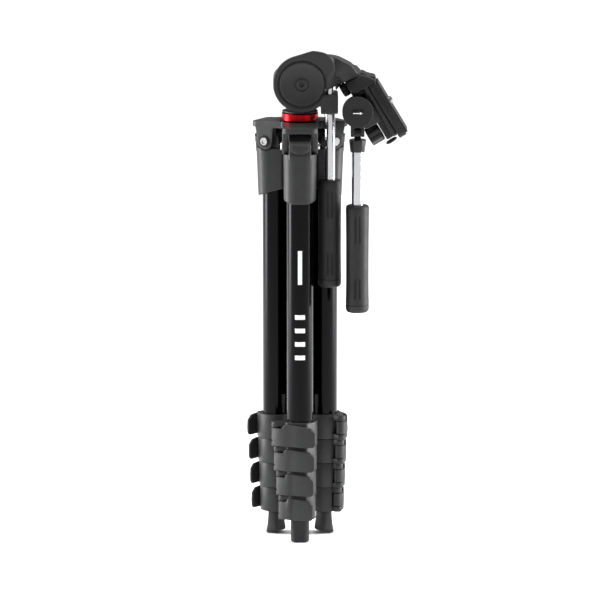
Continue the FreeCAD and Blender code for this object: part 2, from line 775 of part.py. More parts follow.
def camera_platform():
    body = new_body("camera_platform")
    length, top = size["platform_length"], size["platform_top"]
    stop, plate = size["stop_length"], size["plate_top"] + size["pad_height"]
    underside, edge = -size["roll_knob_top"], size["lock_knob_edge"]
    hub_along, hub_below = size["hub_along"], size["hub_below"]
    slab(body, "XZ", "-platform_width / 2", "platform_width / 2",
         band([(1, 1, 1), (length - 1, 1, 1), (length - 1, top - 1, 1), (1, top - 1, 1)]))
    slab(body, "XZ", "-platform_width / 2", "platform_width / 2",
         band([(1, underside + 1, 1), (22, underside + 1, 1), (edge - 5, 1, 1), (1, 3, 1)]))
    slab(body, "XZ", "-platform_width / 2", "platform_width / 2",
         band([(size["belly_start"], underside + 1, 1), (size["belly_end"], underside - size["belly_drop"], 1),
               (edge - 3.5, 1.5, 1.5), (size["belly_start"], 3, 1)]))
    slab(body, "XZ", "-platform_width / 2", "platform_width / 2",
         band([(1.2, top - 2, 1.2), (1.2, top + 0.6, 1.2), (5.2, top + 2.6, 1.5), (5.2, top - 2, 1.5)]))
    slab(body, "XZ", "-platform_width / 2", "platform_width / 2",
         band([(5.2, top + 2.6, 1.5), (9.8, plate - 1.9, 1.9), (stop - 0.8, plate - 0.8, 0.8),
               (stop - 0.8, top - 2, 0.8), (5.2, top - 2, 1.5)]))
    lug_front = "-platform_width / 2"
    slab(body, "XZ", lug_front, "-2", band([(hub_along, -hub_below, size["hub_neck_radius"]), (16, 2, 2), (edge - 3, 2, 2)]))
    hole(body, "XY", "platform_top - groove_depth", "platform_top + 1",
         polygon([(stop, -size["groove_width"] / 2), (length + 1, -size["groove_width"] / 2),
                  (length + 1, size["groove_width"] / 2), (stop, size["groove_width"] / 2)]))
    stem = size["knob_stem"] + size["running_fit"]
    hole(body, "XY", "-hub_radius", "4", circle(size["lock_knob_place"], 0, stem))
    hole(body, "XY", "-hub_radius", "-shaft_radius", circle(size["roll_knob_place"], 0, stem))
    hole(body, "XY", "-2 * lock_knob_height", "-free_gap / 2",
         circle(size["lock_knob_place"], 0, size["lock_knob_radius"] + size["free_gap"]))
    hole(body, "YZ", "platform_length - 6", "platform_length + 1", circle(0, size["end_knob_height"], stem))
    hole(body, "YZ", "-1", "shaft_length / 2 - 1", circle(0, 0, size["shaft_radius"]))
    hole(body, "XZ", "-platform_width", "0",
         circle(hub_along, -hub_below, size["hub_bolt_radius"] + size["running_fit"]))
    keep(on_platform(body), "camera_platform")
    shaft = along_roll(length_bar("roll_shaft", "shaft_radius", "shaft_length - 2"),
                       -size["shaft_length"] / 2)
    keep(shaft, "roll_shaft")


def quick_release_plate():
    body = new_body("quick_release_plate")
    corner = size["plate_corner"]
    half = size["plate_width"] / 2 - corner
    near, far = size["stop_length"] + size["free_gap"] + corner, size["plate_end"] - corner

    def outline(inset):
        return band([(near, -half, corner - inset), (near, half, corner - inset),
                     (far, half, corner - inset), (far, -half, corner - inset)])

    place, stud = size["screw_place"], size["screw_radius"] + size["free_gap"]
    slab(body, "XY", "platform_top + thin_gap", "plate_top", outline(0))
    rib = size["groove_width"] / 2 - 0.2
    slab(body, "XY", "platform_top - groove_depth + thin_gap", "platform_top + 1",
         polygon([(near, -rib), (size["platform_length"] - 2, -rib), (size["platform_length"] - 2, rib),
                  (near, rib)]))
    hole(body, "XY", "platform_top - groove_depth", "plate_top + 1", circle(place, 0, stud))
    hole(body, "XY", "platform_top - groove_depth", "platform_top + screw_head_height",
         circle(place, 0, size["screw_head_radius"] + size["free_gap"]))
    keep(on_platform(body), "quick_release_plate")
    pad = new_body("plate_pad")
    slab(pad, "XY", "plate_top", "plate_top + pad_height", outline(size["pad_inset"]),
         circle(place, 0, stud))
    keep(on_platform(pad), "plate_pad")
    screw = new_body("camera_screw")
    slab(screw, "XY", "platform_top + screw_head_height - 2 * thin_gap - screw_head_thickness",
         "platform_top + screw_head_height - 2 * thin_gap", circle(place, 0, size["screw_head_radius"]))
    slab(screw, "XY", "platform_top", "plate_top + pad_height", circle(place, 0, size["screw_shank"]))
    slab(screw, "XY", "plate_top + pad_height", "plate_top + pad_height + screw_stand",
         circle(place, 0, size["screw_radius"]))
    keep(on_platform(screw), "camera_screw")


def platform_knobs():
    stem = size["knob_stem"]
    lock = new_body("plate_lock_knob")
    place = size["lock_knob_place"]
    slab(lock, "XY", "-free_gap - lock_knob_height", "-free_gap - 1",
         circle(place, 0, size["lock_knob_radius"]))
    slab(lock, "XY", "-free_gap - 1", "3", circle(place, 0, stem))
    keep(on_platform(lock), "plate_lock_knob")
    roll = new_body("roll_friction_knob")
    place = size["roll_knob_place"]
    slab(roll, "XY", "-roll_knob_bottom", "-roll_knob_top - free_gap",
         circle(place, 0, size["roll_knob_radius"]))
    slab(roll, "XY", "-roll_knob_top - free_gap", "-shaft_radius - free_gap", circle(place, 0, stem))
    keep(on_platform(roll), "roll_friction_knob")
    end = new_body("plate_safety_knob")
    height = size["end_knob_height"]
    slab(end, "YZ", "platform_length + end_knob_stand",
         "platform_length + end_knob_stand + end_knob_thickness", circle(0, height, size["end_knob_radius"]))
    slab(end, "YZ", "platform_length - 5", "platform_length + end_knob_stand", circle(0, height, stem))
    keep(on_platform(end), "plate_safety_knob")


# ---- handles --------------------------------------------------------------------------

def grip(label, radius, top, side, depth):
    """Rubber sleeve, closed at its lower end, on a round rod."""
    blank = bar(label + "_blank", "grip_radius", f"{top} - grip_length", top, side, depth)
    room = bar(label + "_bore", radius, f"{top} - grip_length + grip_end_wall", f"{top} + 1", side, depth)
    keep(bored(label, rounded(label + "_rounded", blank, size["grip_rounding"]), room), label)


def tilt_handle():
    side, depth = "tilt_handle_side", "tilt_handle_depth"
    rod = bar("tilt_rod", "tilt_rod_radius", "tilt_grip_top - grip_length + grip_end_wall",
              "tilt_rod_top", side, depth)
    screw = bar("tilt_screw", "tilt_screw_radius", "tilt_rod_top", "tilt_screw_top", side, depth)
    keep(joined("tilt_handle_rod", rod, screw), "tilt_handle_rod")
    grip("tilt_handle_grip", "tilt_rod_radius", "tilt_grip_top", side, depth)


def roll_handle():
    x, z = size["hub_side"], size["hub_height"]
    depth = -(size["hub_front"] + size["hub_rear"]) / 2
    knuckle = size["knuckle_height"]
    hub = new_body("roll_hub")
    slab(hub, "XZ", "-hub_front", "-hub_rear", circle(x, z, size["hub_radius"]))
    slab(hub, "XZ", "-hub_rear", "roll_depth - platform_width / 2 - free_gap",
         circle(x, z, size["hub_neck_radius"]))
    slab(hub, "XZ", "-hub_rear", "roll_depth", circle(x, z, size["hub_bolt_radius"]))
    cheek = band([(depth, knuckle, size["knuckle_radius"]), (depth - 2, z - 10, 2.5), (depth + 2, z - 10, 2.5)])
    slab(hub, "YZ", "hub_side - knuckle_width / 2", "hub_side + knuckle_width / 2", cheek)
    hole(hub, "YZ", "hub_side - knuckle_gap / 2", "hub_side + knuckle_gap / 2",
         circle(depth, knuckle, size["knuckle_radius"] + 2 * size["free_gap"]))
    slab(hub, "YZ", "hub_side - knuckle_width / 2", "hub_side + knuckle_width / 2",
         circle(depth, knuckle, size["knuckle_pin"]))
    keep(hub, "roll_hub")
    rod = new_body("roll_handle_rod")
    tongue = band([(depth, knuckle, size["knuckle_radius"] - 0.2), (depth, size["collar_top"] - 1, 1.5)])
    slab(rod, "YZ", "hub_side - knuckle_gap / 2 + free_gap", "hub_side + knuckle_gap / 2 - free_gap", tongue)
    slab(rod, "XY", "roll_grip_top - grip_length + grip_end_wall", "roll_rod_top",
         circle(x, depth, size["roll_rod_radius"]))
    slab(rod, "XY", "roll_rod_top", "collar_top + 0.5", circle(x, depth, size["neck_radius"]))
    hole(rod, "YZ", "hub_side - knuckle_gap", "hub_side + knuckle_gap",
         circle(depth, knuckle, size["knuckle_pin"] + size["running_fit"]))
    keep(rod, "roll_handle_rod")
    side, middle = "hub_side", "-(hub_front + hub_rear) / 2"
    shell = cone("collar_shell", "collar_bottom_radius", "collar_top_radius",
                 "collar_top - collar_length", "collar_top", side, middle)
    room = bar("collar_bore", "roll_rod_radius + running_fit", "collar_top - collar_length - 1",
               "collar_top + 1", side, middle)
    keep(bored("fold_lock_collar", shell, room), "fold_lock_collar")
    grip("roll_handle_grip", "roll_rod_radius", "roll_grip_top", side, middle)


for leg_name, leg_turn in (("front", 0.0), ("right", 120.0), ("left", -120.0)):
    build_leg(leg_name, leg_turn)
spider()
hinge_bolts()
column_lock_ring()
center_column()
pan_base()
tilt_drum()
tilt_arm()
camera_platform()
quick_release_plate()
platform_knobs()
tilt_handle()
roll_handle()

doc.recompute()
for item in doc.Objects:
    if {"Invalid", "Error"} & set(item.State):
        raise RuntimeError(f"{item.Name} did not build: {item.State}")
os.makedirs("parts", exist_ok=True)
for piece in pieces:
    shape = piece.Shape
    if shape.isNull() or not shape.isValid():
        raise RuntimeError(piece.Label + " has no valid shape")
    shape.exportStep(f"parts/{piece.Label}.step")
    print(f"{piece.Label}: {len(shape.Solids)} solid, {shape.Volume / 1000:.2f} cm3")
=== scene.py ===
# Packed travel tripod: finishes, moulded detail, light and camera round the CAD frame.
import bpy
import bmesh
import json
import math
from mathutils import Matrix, Vector


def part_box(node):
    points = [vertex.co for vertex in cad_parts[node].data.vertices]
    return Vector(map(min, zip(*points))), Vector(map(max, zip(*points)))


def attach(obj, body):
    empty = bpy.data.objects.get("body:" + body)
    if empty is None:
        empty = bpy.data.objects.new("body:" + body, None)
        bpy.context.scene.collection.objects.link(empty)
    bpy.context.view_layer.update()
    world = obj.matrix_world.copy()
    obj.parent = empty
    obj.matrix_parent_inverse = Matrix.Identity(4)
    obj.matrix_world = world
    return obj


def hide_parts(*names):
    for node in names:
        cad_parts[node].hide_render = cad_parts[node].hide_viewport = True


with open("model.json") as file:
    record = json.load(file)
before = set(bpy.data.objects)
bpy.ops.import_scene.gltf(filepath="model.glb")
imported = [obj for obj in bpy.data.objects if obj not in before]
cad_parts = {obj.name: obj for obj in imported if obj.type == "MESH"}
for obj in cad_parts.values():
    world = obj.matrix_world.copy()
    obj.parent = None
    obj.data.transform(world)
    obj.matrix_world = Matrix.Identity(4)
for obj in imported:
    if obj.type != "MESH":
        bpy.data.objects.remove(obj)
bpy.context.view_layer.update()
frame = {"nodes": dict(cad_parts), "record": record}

nodes = frame["nodes"]
legs = {"front": 0.0, "right": 120.0, "left": -120.0}
mm = 0.001

# main sizes and places of the frame, in millimetres
lockPitch = 22.0
lockGap = 0.4
footTop = 21.3
legCircle = 24.5
tubeOuter = 11.75
tubeStep = 1.68
tubeWall = 1.1
tubeTop = 338.0
hingePlace = {"out": 2.5, "height": 353.3}
drumAxis = {"side": 1.6, "height": 406.8}
hubPlace = {"along": 26.58, "up": -8.97}


# ---- materials ----

def newMaterial(name, colour, roughness, metallic=0.0):
    material = bpy.data.materials.new(name)
    material.use_nodes = True
    shader = material.node_tree.nodes["Principled BSDF"]
    shader.inputs["Base Color"].default_value = (*colour, 1.0)
    shader.inputs["Roughness"].default_value = roughness
    shader.inputs["Metallic"].default_value = metallic
    return material, shader


def addNode(material, kind, **settings):
    node = material.node_tree.nodes.new(kind)
    for name, value in settings.items():
        setattr(node, name, value)
    return node


def objectPattern(material, scale, detail=4.0, stretch=(1.0, 1.0, 1.0), kind="ShaderNodeTexNoise"):
    # a pattern fixed to the piece, in its own coordinates
    links = material.node_tree.links
    place = addNode(material, "ShaderNodeTexCoord")
    mapping = addNode(material, "ShaderNodeMapping")
    mapping.inputs["Scale"].default_value = stretch
    pattern = addNode(material, kind)
    pattern.inputs["Scale"].default_value = scale
    if "Detail" in pattern.inputs:
        pattern.inputs["Detail"].default_value = detail
    links.new(place.outputs["Object"], mapping.inputs["Vector"])
    links.new(mapping.outputs["Vector"], pattern.inputs["Vector"])
    return pattern


def spread(material, source, low, high, fromLow=0.3, fromHigh=0.7):
    # stretch a 0 to 1 pattern to the range that a socket wants
    remap = addNode(material, "ShaderNodeMapRange")
    remap.inputs["From Min"].default_value = fromLow
    remap.inputs["From Max"].default_value = fromHigh
    remap.inputs["To Min"].default_value = low
    remap.inputs["To Max"].default_value = high
    material.node_tree.links.new(source, remap.inputs["Value"])
    return remap.outputs["Result"]


def tint(material, shader, source, dark, light):
    links = material.node_tree.links
    ramp = addNode(material, "ShaderNodeValToRGB")
    ramp.color_ramp.elements[0].position = 0.3
    ramp.color_ramp.elements[0].color = (*dark, 1.0)
    ramp.color_ramp.elements[1].position = 0.7
    ramp.color_ramp.elements[1].color = (*light, 1.0)
    links.new(source, ramp.inputs["Fac"])
    links.new(ramp.outputs["Color"], shader.inputs["Base Color"])


def relief(material, shader, source, height, strength=1.0):
    links = material.node_tree.links
    bump = addNode(material, "ShaderNodeBump")
    bump.inputs["Strength"].default_value = strength
    bump.inputs["Distance"].default_value = height
    links.new(source, bump.inputs["Height"])
    links.new(bump.outputs["Normal"], shader.inputs["Normal"])


def mouldedPlastic(name, dark, light, roughLow, roughHigh, grain=2600.0, height=0.00005):
    material, shader = newMaterial(name, light, roughHigh)
    shader.inputs["Specular IOR Level"].default_value = 0.25
    cloud = objectPattern(material, 28.0, 3.0)
    tint(material, shader, cloud.outputs["Fac"], dark, light)
    patches = objectPattern(material, 90.0, 5.0)
    material.node_tree.links.new(spread(material, patches.outputs["Fac"], roughLow, roughHigh),
                                 shader.inputs["Roughness"])
    texture = objectPattern(material, grain, 2.0)
    relief(material, shader, texture.outputs["Fac"], height, 0.6)
    return material


def metalFinish(name, colour, roughLow, roughHigh, stretch=(1, 1, 1), scale=300.0):
    material, shader = newMaterial(name, colour, roughHigh, 1.0)
    wear = objectPattern(material, scale, 4.0, stretch)
    material.node_tree.links.new(spread(material, wear.outputs["Fac"], roughLow, roughHigh),
                                 shader.inputs["Roughness"])
    relief(material, shader, wear.outputs["Fac"], 0.000004, 0.5)
    return material


bodyPlastic = mouldedPlastic("bodyPlastic", (0.021, 0.0212, 0.0216), (0.029, 0.0292, 0.0298), 0.38, 0.50)
leverPlastic = mouldedPlastic("leverPlastic", (0.020, 0.0202, 0.0206), (0.027, 0.0272, 0.0278), 0.38, 0.50)
platformPlastic = mouldedPlastic("platformPlastic", (0.010, 0.010, 0.0102), (0.015, 0.015, 0.0154),
                                 0.38, 0.50)
knobPlastic = mouldedPlastic("knobPlastic", (0.004, 0.004, 0.0045), (0.008, 0.008, 0.009), 0.25, 0.36)
gripRubber = mouldedPlastic("gripRubber", (0.013, 0.013, 0.0135), (0.020, 0.020, 0.021), 0.42, 0.56,
                            grain=3600.0, height=0.00008)
footRubber = mouldedPlastic("footRubber", (0.016, 0.016, 0.017), (0.024, 0.024, 0.026), 0.5, 0.65,
                            grain=3000.0, height=0.00008)
brightMetal = metalFinish("brightMetal", (0.55, 0.55, 0.56), 0.16, 0.26, stretch=(1, 1, 0.03))
tubeAnodised = metalFinish("tubeAnodised", (0.009, 0.009, 0.0095), 0.16, 0.22, stretch=(1, 1, 0.02))
redAnodised = metalFinish("redAnodised", (0.30, 0.006, 0.010), 0.22, 0.32)
plateMetal = mouldedPlastic("plateMetal", (0.009, 0.009, 0.0095), (0.014, 0.014, 0.015), 0.36, 0.48)
markPaint = mouldedPlastic("markPaint", (0.80, 0.80, 0.80), (0.86, 0.86, 0.86), 0.35, 0.45)

finishes = {"moulded_body": bodyPlastic, "lever_plastic": leverPlastic, "leg_tube": tubeAnodised,
            "bright_metal": brightMetal, "red_anodised": redAnodised, "plate_metal": plateMetal,
            "knob_plastic": knobPlastic, "grip_rubber": gripRubber, "foot_rubber": footRubber}
bodyOf = {}
for entry in frame["record"]["subparts"]:
    mesh = nodes[entry["node"]].data
    mesh.materials.clear()
    mesh.materials.append(finishes[entry["material_slot"]])
for bodyName, members in frame["record"]["behaviour"]["bodies"].items():
    for member in members:
        bodyOf[member] = bodyName
nodes["camera_platform"].data.materials[0] = platformPlastic
print("finishes on", len(nodes), "nodes")


# ---- making and shaping pieces ----

def onlySelect(piece):
    bpy.ops.object.select_all(action="DESELECT")
    piece.select_set(True)
    bpy.context.view_layer.objects.active = piece


def applyModifier(piece, kind, **settings):
    onlySelect(piece)
    modifier = piece.modifiers.new(kind.lower(), kind)
    for name, value in settings.items():
        setattr(modifier, name, value)
    bpy.ops.object.modifier_apply(modifier=modifier.name)


def smoothFaces(piece, degrees=35.0):
    onlySelect(piece)
    bpy.ops.object.shade_smooth_by_angle(angle=math.radians(degrees))


def extrudeThrough(name, rings, closed=True):
    # a disc takes the first outline, and each extrusion is drawn out to the next one
    count = len(rings[0])
    bpy.ops.object.select_all(action="DESELECT")
    bpy.ops.mesh.primitive_circle_add(vertices=count, radius=1.0, fill_type="NGON" if closed else "NOTHING")
    piece = bpy.context.object
    piece.name = piece.data.name = name
    for vertex, point in zip(piece.data.vertices, rings[0]):
        vertex.co = point
    bpy.ops.object.mode_set(mode="EDIT")
    bpy.ops.mesh.select_all(action="SELECT")
    for ring in rings[1:]:
        if closed:
            bpy.ops.mesh.extrude_region_move()
        else:
            bpy.ops.mesh.extrude_edges_move()
        shell = bmesh.from_edit_mesh(piece.data)
        fresh = sorted((vertex for vertex in shell.verts if vertex.select), key=lambda vertex: vertex.index)
        for vertex, point in zip(fresh, ring):
            vertex.co = point
        bmesh.update_edit_mesh(piece.data)
    bpy.ops.object.mode_set(mode="OBJECT")
    return piece


def tidyNormals(piece):
    onlySelect(piece)
    bpy.ops.object.mode_set(mode="EDIT")
    bpy.ops.mesh.select_all(action="SELECT")
    bpy.ops.mesh.remove_doubles(threshold=0.000002)
    bpy.ops.mesh.normals_make_consistent(inside=False)
    bpy.ops.object.mode_set(mode="OBJECT")


def shellThrough(name, rings, smooth=40, closed=True):
    piece = extrudeThrough(name, rings, closed)
    tidyNormals(piece)
    if smooth:
        smoothFaces(piece, smooth)
    return piece


def nodeCopy(node, name):
    # a copy of a frame node, with its corners merged
    piece = nodes[node].copy()
    piece.data = nodes[node].data.copy()
    piece.name = piece.data.name = name
    piece.parent = None
    bpy.context.scene.collection.objects.link(piece)
    tidyNormals(piece)
    return piece


def cutLevel(piece, level, filled, keepAbove=False):
    # keep what lies above or below a level
    onlySelect(piece)
    bpy.ops.object.mode_set(mode="EDIT")
    bpy.ops.mesh.select_all(action="SELECT")
    bpy.ops.mesh.bisect(plane_co=(0, 0, level * mm), plane_no=(0, 0, 1), use_fill=filled,
                        clear_outer=not keepAbove, clear_inner=keepAbove)
    bpy.ops.object.mode_set(mode="OBJECT")


def settle(piece, matrix):
    # put a piece in its place, in its mesh
    piece.data.transform(matrix)
    return piece


def finish(piece, body, material, standsFor=()):
    piece.data.materials.clear()
    piece.data.materials.append(material)
    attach(piece, body)
    if standsFor:
        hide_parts(*standsFor)
    return piece


def turnedCopy(piece, name, degrees):
    copy = piece.copy()
    copy.data = piece.data.copy()
    copy.name = copy.data.name = name
    bpy.context.scene.collection.objects.link(copy)
    copy.data.transform(Matrix.Rotation(math.radians(degrees), 4, "Z"))
    return copy


def onEachLeg(part, *shapes):
    # the front leg's shapes, copied to all three legs; the first one stands for the leg's node
    for leg, turn in legs.items():
        node = f"{leg}_{part}"
        standsFor = [node]
        for master, ending, material, slot in shapes:
            finish(turnedCopy(master, f"{node}_{ending}", turn), bodyOf[node], material, standsFor)
            standsFor = ()
    for shape in shapes:
        bpy.data.objects.remove(shape[0])


def softened(node, name, cell, rounds, keepShare=0.35, reshape=None):
    # the casting's own solid with its edges melted, as they come out of a mould
    piece = nodeCopy(node, name)
    applyModifier(piece, "REMESH", mode="VOXEL", voxel_size=cell * mm)
    if reshape:
        for vertex in piece.data.vertices:
            vertex.co = reshape(vertex.co / mm) * mm
    applyModifier(piece, "SMOOTH", factor=0.6, iterations=rounds)
    applyModifier(piece, "DECIMATE", ratio=keepShare)
    onlySelect(piece)
    bpy.ops.object.shade_smooth()
    return piece


def circlePoints(radius, height, count=64, centre=(0.0, 0.0)):
    step = 2 * math.pi / count
    return [Vector((centre[0] + radius * math.cos(step * i), centre[1] + radius * math.sin(step * i),
                    height)) * mm for i in range(count)]


def turnedBar(name, profile, count=64, flutes=0, fluteDepth=0.0):
    # profile: pairs of radius and height, with flutes only where the radius is widest
    widest = max(radius for radius, height in profile)
    step = 2 * math.pi / count
    rings = []
    for radius, height in profile:
        depth = fluteDepth if flutes and radius > widest - 0.6 else 0.0
        ring = []
        for i in range(count):
            dent = depth * (0.5 - 0.5 * math.cos(flutes * step * i))
            ring.append(Vector(((radius - dent) * math.cos(step * i), (radius - dent) * math.sin(step * i),
                                height)) * mm)
        rings.append(ring)
    piece = extrudeThrough(name, rings)
    tidyNormals(piece)
    return piece


def boxOf(node):
    low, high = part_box(node)
    return Vector(low) / mm, Vector(high) / mm


# ---- lever locks ----

lever = {"plateHalf": 1.3, "columns": 26, "bulge": 0.35, "rim": 0.55, "barrel": 3.9, "barrelInset": 4.8,
         "bevel": 0.25, "side": -21.0, "out": 5.0, "front": 15.3, "stepIn": 1.0, "stepSide": 2.03}

# edges of the lever's plate: millimetres, and shares of its length from the barrel to its free end
edge = {"neck": 5.0, "rise": 4.2, "riseFrom": 0.24, "riseOver": 0.10, "tipDrop": 2.6, "dropFrom": 0.36,
        "foot": 0.8, "footLift": 1.6, "liftOver": 0.06, "cornerTop": 3.6, "topFrom": 0.88,
        "cornerLow": 2.0, "lowFrom": 0.93, "tipThin": 0.35, "rootThin": 0.45, "rootOver": 0.05}


def smoothStep(value):
    value = min(1.0, max(0.0, value))
    return value * value * (3 - 2 * value)


def curveThrough(points, count):
    # even samples on a smooth line through a few points in plan
    padded = [2 * points[0] - points[1], *points, 2 * points[-1] - points[-2]]
    fine = []
    for a, b, c, d in zip(padded, padded[1:], padded[2:], padded[3:]):
        for step in range(24):
            t = step / 24
            fine.append(0.5 * (2 * b + (c - a) * t + (2 * a - 5 * b + 4 * c - d) * t * t
                               + (3 * b - 3 * c + d - a) * t ** 3))
    fine.append(points[-1])
    lengths = [0.0]
    for a, b in zip(fine, fine[1:]):
        lengths.append(lengths[-1] + (b - a).length)
    samples = []
    for i in range(count):
        target = lengths[-1] * i / (count - 1)
        k = max(j for j, length in enumerate(lengths) if length <= target + 1e-9)
        k = min(k, len(fine) - 2)
        share = (target - lengths[k]) / (lengths[k + 1] - lengths[k])
        samples.append(fine[k].lerp(fine[k + 1], share))
    return samples


def leverPiece(number):
    # a curved plate that wraps its barrel, then crosses the front of the collar
    low = footTop + (3 - number) * lockPitch
    high = low + lockPitch - lockGap
    inward, shift = lever["stepIn"] * number, lever["stepSide"] * number
    side, out = lever["side"] + shift, lever["out"]
    front = lever["front"] - inward
    plan = [Vector((side - 2.5, out + 1.0)), Vector((side + 0.4, out + 5.0)), Vector((side + 5.8, out + 8.8)),
            Vector((-8.0 + shift / 4, front + 0.9 + inward / 4)), Vector((0.0, front + 3.7)),
            Vector((13.4 - shift / 3, front + 5.8))]
    path = curveThrough(plan, lever["columns"])
    rings = []
    last = len(path) - 1
    for i, point in enumerate(path):
        s = i / last
        ahead = path[min(i + 1, last)] - path[max(i - 1, 0)]
        ahead.normalize()
        normal = Vector((-ahead.y, ahead.x))
        rise = smoothStep((s - edge["riseFrom"]) / edge["riseOver"])
        drop = max(0.0, (s - edge["dropFrom"]) / (1 - edge["dropFrom"]))
        lift = max(0.0, 1 - s / edge["liftOver"]) ** 2
        cornerTop = edge["cornerTop"] * max(0.0, (s - edge["topFrom"]) / (1 - edge["topFrom"]))
        nearTip = max(0.0, (s - edge["lowFrom"]) / (1 - edge["lowFrom"]))
        cornerLow = edge["cornerLow"] * nearTip ** 2.2
        top = high - edge["neck"] + edge["rise"] * rise - edge["tipDrop"] * drop - cornerTop
        bottom = low + edge["foot"] + edge["footLift"] * lift + cornerLow
        half = lever["plateHalf"] * (1 - edge["tipThin"] * smoothStep(nearTip))
        half *= 1 - edge["rootThin"] * (1 - smoothStep(s / edge["rootOver"]))
        rim = lever["rim"]
        middle = (top + bottom) / 2
        section = [(half - rim, bottom), (half, bottom + rim), (half + lever["bulge"], middle),
                   (half, top - rim), (half - rim, top), (-half + rim, top), (-half, top - rim),
                   (-half + 0.1, middle), (-half, bottom + rim), (-half + rim, bottom)]
        rings.append([Vector((point.x + normal.x * across, -legCircle - point.y - normal.y * across, up)) * mm
                      for across, up in section])
    plate = extrudeThrough("leverPlate", rings)
    inset, full = lever["barrelInset"], lever["barrel"]
    profile = [(full - 0.7, low + inset), (full, low + inset + 0.6), (full, high - inset - 0.6),
               (full - 0.7, high - inset)]
    barrel = turnedBar("leverBarrel", profile, 32)
    settle(barrel, Matrix.Translation(Vector((side, -legCircle - out, 0)) * mm))
    tidyNormals(plate)
    onlySelect(plate)
    barrel.select_set(True)
    bpy.ops.object.join()
    applyModifier(plate, "BEVEL", width=lever["bevel"] * mm, segments=1, limit_method="ANGLE",
                  angle_limit=0.9)
    smoothFaces(plate, 40)
    return plate


for number in range(4):
    onEachLeg(f"lever_{number + 1}", (leverPiece(number), "plate", leverPlastic, "lever_plastic"))
print("levers done")


collar = {"mouth": 0.004, "flat": 1.0, "edge": 0.45, "overlap": 2.0}


def collarPiece(number):
    # the casting's lower end: everything of the section below the mouth of its collar
    high = footTop + (4 - number) * lockPitch - lockGap
    piece = nodeCopy(f"front_section_{number + 1}", f"collar_{number + 1}")
    cutLevel(piece, high + collar["mouth"], filled=False)
    bpy.ops.object.mode_set(mode="EDIT")
    bpy.ops.mesh.select_all(action="SELECT")
    bpy.ops.mesh.dissolve_limited(angle_limit=math.radians(collar["flat"]))
    bpy.ops.object.mode_set(mode="OBJECT")
    applyModifier(piece, "BEVEL", width=collar["edge"] * mm, segments=2, limit_method="ANGLE",
                  angle_limit=0.8)
    smoothFaces(piece, 35)
    return piece


def sleeve(name, outer, inner, low, high, count=64):
    # an open-ended tube with softly broken rims
    rim = 0.25
    profile = [(inner, low), (outer - rim, low), (outer, low + rim), (outer, high - rim), (outer - rim, high),
               (inner, high), (inner, low)]
    rings = [circlePoints(radius, height, count, (0.0, -legCircle)) for radius, height in profile]
    return shellThrough(name, rings, closed=False)


for number in range(4):
    outer = tubeOuter - number * tubeStep
    low = footTop + (4 - number) * lockPitch - collar["overlap"]
    tube = sleeve(f"tube_{number + 1}", outer, outer - tubeWall, low, tubeTop - 2.0 * number)
    onEachLeg(f"section_{number + 1}", (collarPiece(number), "collar", leverPlastic, "lever_plastic"),
              (tube, "tube", tubeAnodised, "leg_tube"))
print("collars and tubes done")


# ---- feet ----

foot = {"count": 64, "neck": 5.3, "half": 8.2, "inward": 7.8, "outward": 8.2, "flat": 3.0, "sole": 12.0,
        "squareness": 0.62, "top": 21.1}


def footPiece():
    # squarish in section, flared towards a sole that lifts on its inner side
    rings = []
    slope = math.tan(math.radians(foot["sole"]))
    levels = [(0.0, 1.6), (0.03, 0.5), (0.09, 0.0), (0.2, 0.0), (0.34, 0.0), (0.5, 0.0), (0.66, 0.0),
              (0.8, 0.0), (0.93, 0.0), (1.0, 0.5)]
    for share, shrink in levels:
        flare = (1 - share) ** 2.1
        ring = []
        for i in range(foot["count"]):
            angle = 2 * math.pi * i / foot["count"]
            c, q = math.cos(angle), math.sin(angle)
            power = foot["squareness"]
            u = math.copysign(abs(c) ** power, c) * (foot["half"] - shrink)
            reach = foot["outward"] if q > 0 else foot["inward"]
            w = math.copysign(abs(q) ** power, q) * (foot["neck"] + (reach - foot["neck"]) * flare - shrink)
            lift = max(0.0, foot["outward"] - foot["flat"] - w) * slope
            bottom = lift + (0.0 if shrink < 1 else 0.05)
            ring.append(Vector((u, -legCircle - w, bottom + (foot["top"] - bottom) * share)) * mm)
        rings.append(ring)
    return shellThrough("foot", rings, 50)


onEachLeg("foot", (footPiece(), "rubber", footRubber, "foot_rubber"))
print("feet done")


# ---- leg castings, spider, latches and hinge bolts ----

shoulderDraw = {"start": 303.0, "over": 40.0, "end": 346.0, "fade": 2.0, "share": 0.055}


def narrowShoulder(point):
    # the casting draws in a little below its ears
    share = smoothStep((point.z - shoulderDraw["start"]) / shoulderDraw["over"])
    share *= 1 - smoothStep((point.z - shoulderDraw["end"]) / shoulderDraw["fade"])
    return Vector((point.x * (1 - shoulderDraw["share"] * share), point.y, point.z))


yokeShape = softened("front_yoke", "master", cell=0.5, rounds=12, keepShare=0.28, reshape=narrowShoulder)
onEachLeg("yoke", (yokeShape, "casting", bodyPlastic, "moulded_body"))


latch = {"half": 8.7, "back": 15.65, "face": 17.2, "crown": 0.8, "ridge": 0.45, "count": 17}


